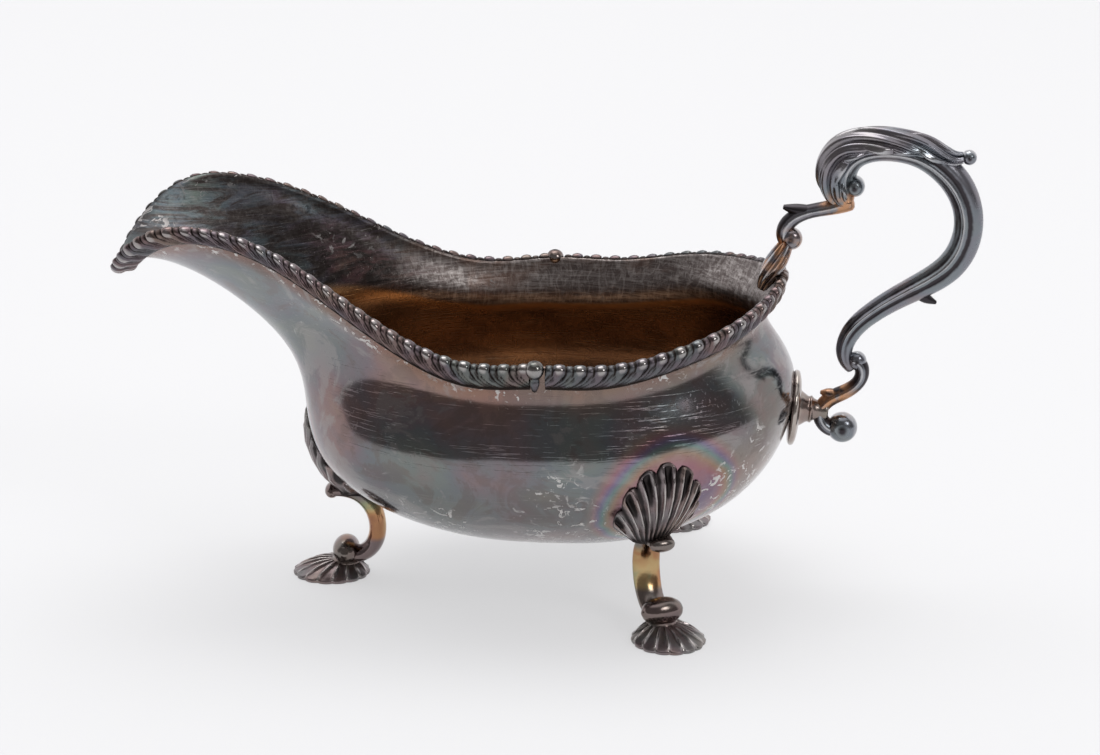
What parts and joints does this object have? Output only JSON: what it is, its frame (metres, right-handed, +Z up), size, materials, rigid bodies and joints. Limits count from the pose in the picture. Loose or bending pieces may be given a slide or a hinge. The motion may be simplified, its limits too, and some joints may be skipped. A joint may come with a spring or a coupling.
{
  "type": "silver sauce boat",
  "caption": "Tarnished silver sauce boat: oval bellied bowl with a long lip, gadrooned rim, high leaf-capped scroll handle, on shell feet.",
  "frame": {"origin": "on the table, below the middle of the whole object's box", "axes": "+X from the pouring lip towards the handle, +Z up, +Y across"},
  "size_m": [0.221, 0.1072, 0.1214],
  "materials": {
    "bowl_plate": "tarnished silver plate, polished below the tarnish",
    "border_plate": "dark tarnish with bright worn beads",
    "handle_plate": "blue-black tarnish, worn bright on edges",
    "socket_plate": "tarnish with coppery solder",
    "shell_plate": "dark tarnish with bright ridges",
    "leg_plate": "golden tarnish, glossy"
  },
  "bodies": {
    "root": {"bowl": "bowl_plate", "border_back_far": "border_plate", "border_front_far": "border_plate", "centre_bead_far": "border_plate", "border_back_near": "border_plate", "border_front_near": "border_plate", "centre_bead_near": "border_plate", "handle_scroll": "handle_plate", "handle_leaf_cap": "handle_plate", "handle_upper_bracket": "handle_plate", "handle_rim_leaf": "handle_plate", "handle_lower_bracket": "handle_plate", "handle_neck": "socket_plate", "handle_socket_disc": "socket_plate", "knee_shell_front": "shell_plate", "leg_front": "leg_plate", "pad_front": "shell_plate", "knee_shell_back_near": "shell_plate", "leg_back_near": "leg_plate", "pad_back_near": "shell_plate", "knee_shell_back_far": "shell_plate", "leg_back_far": "leg_plate", "pad_back_far": "shell_plate"}
  },
  "joints": []
}
